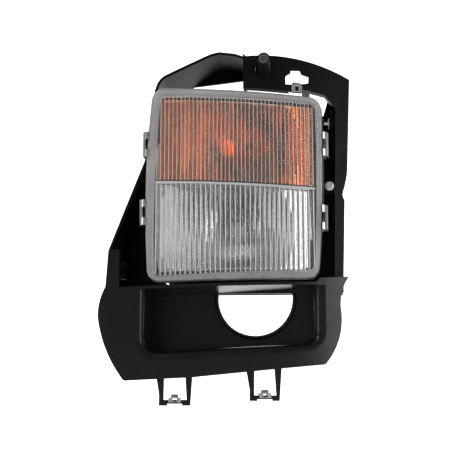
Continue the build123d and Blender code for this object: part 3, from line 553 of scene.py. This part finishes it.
def fluted_panel(name, outline, span, radii, pitch, depth, rows=6, wave=None):
    """A panel between two heights and two radii, smooth in front, with convex vertical flutes behind."""
    front, rear = radii
    left = min(p[0] for p in outline)
    right = max(p[0] for p in outline)
    margin = 0.02
    shortest = 0.3
    count = int((right - left) / pitch * STEPS_PER_FLUTE)
    columns = []
    for k in range(count + 1):
        x = left + margin + (right - left - 2 * margin) * k / count
        bottom, top = outline_span(outline, x)
        bottom, top = max(bottom, span[0]), min(top, span[1])
        if top - bottom > shortest:
            columns.append((x, bottom, top))
    sheets = []
    for behind in (False, True):
        sheet = []
        for row in range(rows + 1):
            line = []
            for x, bottom, top in columns:
                z = bottom + (top - bottom) * row / rows
                shift = wave(z) if wave else 0.0
                phase = ((x + shift - PANEL_LEFT) / pitch) % 1.0
                radius = rear - depth * (1 - (2 * phase - 1) ** 2) if behind else front
                line.append(swept(x, z, radius))
            sheet.append(line)
        sheets.append(sheet)
    front_rows, rear_rows = sheets
    loops = [front_row + rear_row[::-1] for front_row, rear_row in zip(front_rows, rear_rows)]
    mesh = grid_mesh(name, loops, closed_u=True)
    work = bmesh.new()
    work.from_mesh(mesh)
    work.verts.ensure_lookup_table()
    width = 2 * len(columns)
    for base in (0, rows * width):
        for k in range(len(columns) - 1):
            work.faces.new([work.verts[base + i] for i in (k, k + 1, width - 2 - k, width - 1 - k)])
    work.to_mesh(mesh)
    work.free()
    return mesh


def make_lens():
    outer = rounded(LENS_CORNERS, LENS_BOWS, LENS_CORNER)
    inner = rounded(PANEL_CORNERS, PANEL_BOWS, PANEL_CORNER)
    rings = []
    for share, radius in BORDER_PROFILE:
        rings.append([swept(*blend_points(a, b, share), radius) for a, b in zip(outer, inner)])
    stand_for("lens_border", grid_mesh("lens_border", rings, closed_u=True, closed_v=True), "lens")

    panel = [blend_points(p, PANEL_MIDDLE, PANEL_SHRINK) for p in inner]
    low, high = DIVIDER_Z
    radii = (PANEL_FRONT, PANEL_REAR)
    bar_radii = (PANEL_FRONT + BAR_PROUD, PANEL_REAR - BAR_DEPTH)
    above, below = (high + PANEL_GAP, 0), (-300, low - PANEL_GAP)
    upper = fluted_panel("lens_upper_flutes", panel, above, radii, UPPER_PITCH, UPPER_DEPTH)
    lower = fluted_panel("lens_lower_flutes", panel, below, radii, LOWER_PITCH, LOWER_DEPTH)
    bar = fluted_panel("lens_divider", panel, (low, high), bar_radii, pitch=10, depth=0.0, rows=4)
    for mesh in (upper, lower, bar):
        stand_for(mesh.name, mesh, "lens")
    for name, look in LENS_LOOKS.items():
        bpy.data.objects[name].data.materials[0] = look


def make_amber_filter():
    low, high = mm_box("amber_filter")
    inset = 1.2
    left_lean, right_lean = 3, 0.5
    corners = (
        (low.x + inset, low.z + inset), (low.x + inset + left_lean, high.z - inset),
        (high.x - inset, high.z - inset), (high.x - inset - right_lean, low.z + inset),
    )
    outline = rounded(corners, (0.0, 0.0, 0.0, 0.0), radius=4.0)
    fine = fluted_panel(
        "amber_filter_flutes", outline, (low.z, high.z), (AMBER_FRONT, AMBER_REAR), AMBER_PITCH, AMBER_DEPTH,
        rows=40, wave=lambda z: AMBER_WAVE * math.sin(z * AMBER_WAVE_RATE),
    )
    stand_for("amber_filter_flutes", fine, "amber_filter")


# ------------------------------------------------------------------ spring clips
CLIP_SHEET = 0.7                    # thickness of the spring steel
CLIP_BEVEL = 0.12
LENS_CLIPS = [f"{row}_{side}_lens_clip" for side in ("left", "right") for row in ("upper", "lower")]
MOUNTING_CLIPS = {                  # radius of the swept wall that each clip grips
    "top_mounting_clip": 408.5,
    "left_mounting_clip": 411.5,
    "right_mounting_clip": 411.5,
}


def sheet_piece(name, path, widths, place, holes, node):
    """A bent strip with cut-outs. Path is (u, v) points, widths stations across, holes the cells left out."""
    rows = [[Vector(place(u, v, w)) * MM for w in widths] for u, v in path]
    width = len(widths)
    points = [p for row in rows for p in row]
    faces = []
    for j in range(len(rows) - 1):
        for i in range(width - 1):
            if (j, i) not in holes:
                a, b = j * width + i, (j + 1) * width + i
                faces.append((a, a + 1, b + 1, b))
    mesh = bpy.data.meshes.new(name)
    mesh.from_pydata(points, [], faces)
    work = bmesh.new()
    work.from_mesh(mesh)
    bmesh.ops.delete(work, geom=[v for v in work.verts if not v.link_faces], context="VERTS")
    bmesh.ops.recalc_face_normals(work, faces=work.faces)
    offsets = {v: v.normal * CLIP_SHEET * 0.5 * MM for v in work.verts}
    bottom = {}
    for v in list(work.verts):
        bottom[v] = work.verts.new(v.co - offsets[v])
        v.co += offsets[v]
    for face in list(work.faces):
        work.faces.new([bottom[v] for v in reversed(face.verts)])
    for edge in list(work.edges):
        if len(edge.link_faces) == 1 and all(v in bottom for v in edge.verts):
            a, b = edge.verts
            work.faces.new((a, b, bottom[b], bottom[a]))
    work.to_mesh(mesh)
    work.free()
    piece = stand_for(name, mesh, node)
    bevel = piece.modifiers.new("worn_edges", "BEVEL")
    bevel.width = CLIP_BEVEL * MM
    bevel.segments = 2
    bevel.limit_method = "ANGLE"


LENS_CLIP_PATH = (                  # outward from the lens's edge, radius of the sweep
    (-1.2, 414.45), (0.4, 414.5), (2.2, 413.9), (3.8, 412.9), (4.9, 411.5), (5.1, 410.4), (5.1, 408.6),
    (5.1, 406.6), (4.8, 404.9), (3.6, 403.5), (2.0, 402.5), (0.4, 401.95), (-1.4, 401.9), (-3.4, 401.9),
)


def make_lens_clip(node):
    low, high = mm_box(node)
    side = 1 if low.x > 0 else -1
    reach = 5.6
    edge = high.x - reach if side > 0 else low.x + reach
    middle = (low.z + high.z) / 2
    half = (high.z - low.z) / 2 - 0.4
    widths = [middle + half * share for share in (-1, -0.62, -0.42, -0.2, 0.2, 0.42, 0.62, 1)]
    fingers = {(j, i) for j in (0, 1) for i in (2, 3, 4)}
    windows = {(j, i) for j in (5, 6, 7) for i in (3,)} | {(j, i) for j in (5, 6) for i in (0, 6)}

    def place(u, radius, w):
        x = edge + side * u
        return (x, sweep_y(x, radius), w)

    sheet_piece(f"{node}_spring", LENS_CLIP_PATH, widths, place, fingers | windows, node)


def make_mounting_clip(node, wall_radius):
    """A U-clip over a swept wall: a narrow crown, and legs with a square hole for the screw."""
    low, high = mm_box(node)
    x = (low.x + high.x) / 2
    lean = (x - SWEEP_X) / wall_radius
    rearward = Vector((-lean, math.sqrt(1 - lean**2), 0))
    across = Vector((rearward.y, -rearward.x, 0))
    centre = Vector((x, sweep_y(x, wall_radius), 0))
    half_gap = 2.05
    crown = high.z - half_gap - 0.4
    foot = low.z + 0.05
    heights = [foot + (crown - foot) * share for share in (0.0, 0.14, 0.4, 0.72, 0.88, 1.0)]
    bend_steps = 8
    path = [(-half_gap, height) for height in heights]
    for k in range(1, bend_steps):
        angle = math.pi * (1 - k / bend_steps)
        path.append((half_gap * math.cos(angle), crown + half_gap * math.sin(angle)))
    path += [(half_gap, height) for height in reversed(heights)]
    half_width, neck, window = 6.2, 3.6, 2.0
    widths = (-half_width, -neck, -window, window, neck, half_width)
    shoulders = {(j, i) for j in range(4, len(path) - 5) for i in (0, 4)}
    last = len(path) - 2
    windows = {(j, i) for j in (1, 2, last - 2, last - 1) for i in (2,)}

    def place(u, v, w):
        point = centre + rearward * u + across * w
        return (point.x, point.y, v)

    sheet_piece(f"{node}_spring", path, widths, place, shoulders | windows, node)


# ------------------------------------------------------------------ turned and coiled pieces
SCREW_PITCH = 1.5
THREAD_STEEPNESS = 1.4
THREAD_GAP = 0.02                   # keeps the first row of the thread off the journal's last


def make_post_buffer():
    low, high = mm_box("post_buffer")
    centre = ((low.x + high.x) / 2, (low.z + high.z) / 2)
    radius = (high.x - low.x) / 2
    front, back = low.y, high.y
    profile = (
        (0, front + 1.4), (2.0, front + 1.4), (2.3, front + 0.3), (2.6, front), (radius - 1.5, front),
        (radius - 0.5, front + 0.15), (radius - 0.15, front + 0.5), (radius - 0.02, front + 1.0),
        (radius - 0.02, back - 0.3), (radius - 0.4, back - 0.02), (0, back - 0.02),
    )
    stand_for("post_buffer_turned", lathe("post_buffer_turned", profile, centre), "post_buffer")


def thread(centre, start, end, pitch, root, crest, sides, steps=8):
    """Rows of points along a screw thread of the given pitch, from start to end."""
    rows = []
    for k in range(int((end - start) / pitch * steps) + 1):
        row = []
        for j in range(sides):
            phase = (k / steps - j / sides) % 1.0
            radius = root + (crest - root) * max(0.0, 1 - abs(2 * phase - 1) * THREAD_STEEPNESS)
            y = start + k * pitch / steps + THREAD_GAP
            row.append(ring_point(centre, radius, 2 * math.pi * j / sides, y))
        rows.append(row)
    return rows


def make_aim_screw():
    """The aim screw with a turned head and shank, a journal and a real thread."""
    low, high = mm_box("aim_screw")
    centre = ((low.x + high.x) / 2, (low.z + high.z) / 2)
    head = (high.x - low.x) / 2
    front, back = low.y, high.y
    journal_start, journal_end, journal = 35.2, 43.0, 2.98
    root, crest = 2.05, 2.48
    sides = 32
    turned = (
        (1.2, front + 1.9), (1.25, front + 0.15), (1.4, front), (head - 0.6, front),
        (head - 0.1, front + 0.4), (head - 0.02, front + 0.9),
        (head - 0.02, journal_start - 0.3), (head - 0.3, journal_start),
        (journal, journal_start + 0.05), (journal, journal_end - 0.3), (root, journal_end),
    )
    tip = ((root, back - 0.5), (1.3, back - 0.05))

    def rings(profile):
        angles = [2 * math.pi * j / sides for j in range(sides)]
        return [[ring_point(centre, radius, angle, y) for angle in angles] for radius, y in profile]

    threaded = thread(centre, journal_end, back - 0.8, SCREW_PITCH, root, crest, sides)
    mesh = grid_mesh("aim_screw_threaded", rings(turned) + threaded + rings(tip), closed_u=True)
    cap_ends(mesh, sides)
    stand_for("aim_screw_threaded", mesh, "aim_screw")


def tube(name, spine, radius, sides=8):
    """A closed round wire along a spine of points in millimetres."""
    reference = Vector((0.13, 0.2, 0.97))
    rows = []
    for k, point in enumerate(spine):
        ahead = spine[min(k + 1, len(spine) - 1)] - spine[max(k - 1, 0)]
        ahead.normalize()
        across = ahead.cross(reference).normalized()
        up = across.cross(ahead)
        row = []
        for j in range(sides):
            angle = 2 * math.pi * j / sides
            row.append((point + (across * math.cos(angle) + up * math.sin(angle)) * radius) * MM)
        rows.append(row)
    mesh = grid_mesh(name, rows, closed_u=True)
    cap_ends(mesh, sides)
    return mesh


def make_filament(node):
    """Two support wires that run forward to a coil."""
    low, high = mm_box(node)
    middle_x, middle_z = (low.x + high.x) / 2, (low.z + high.z) / 2
    coil_y = low.y + 0.8
    half_span = (high.x - low.x) / 2 - 0.5
    turns, steps, coil_radius = 9, 12, 0.6
    coil = []
    for k in range(turns * steps + 1):
        angle = 2 * math.pi * k / steps
        x = middle_x - half_span + 2 * half_span * k / (turns * steps)
        y = coil_y + coil_radius * math.cos(angle)
        coil.append(Vector((x, y, middle_z + coil_radius * math.sin(angle))))
    meshes = [tube(f"{node}_coil", coil, radius=0.14)]
    for x in (middle_x - half_span, middle_x + half_span):
        spine = [Vector((x, y, middle_z)) for y in (high.y - 0.1, coil_y + 2, coil_y)]
        meshes.append(tube(f"{node}_support", spine, radius=0.42))
    stand_for(f"{node}_wound", join_meshes(f"{node}_wound", meshes), node)


make_camera()
make_stage()
dress_nodes()
make_lens()
make_amber_filter()
for clip_name in LENS_CLIPS:
    make_lens_clip(clip_name)
for clip_name, wall_radius in MOUNTING_CLIPS.items():
    make_mounting_clip(clip_name, wall_radius)
make_post_buffer()
make_aim_screw()
make_filament("turn_filament")
make_filament("fog_filament")
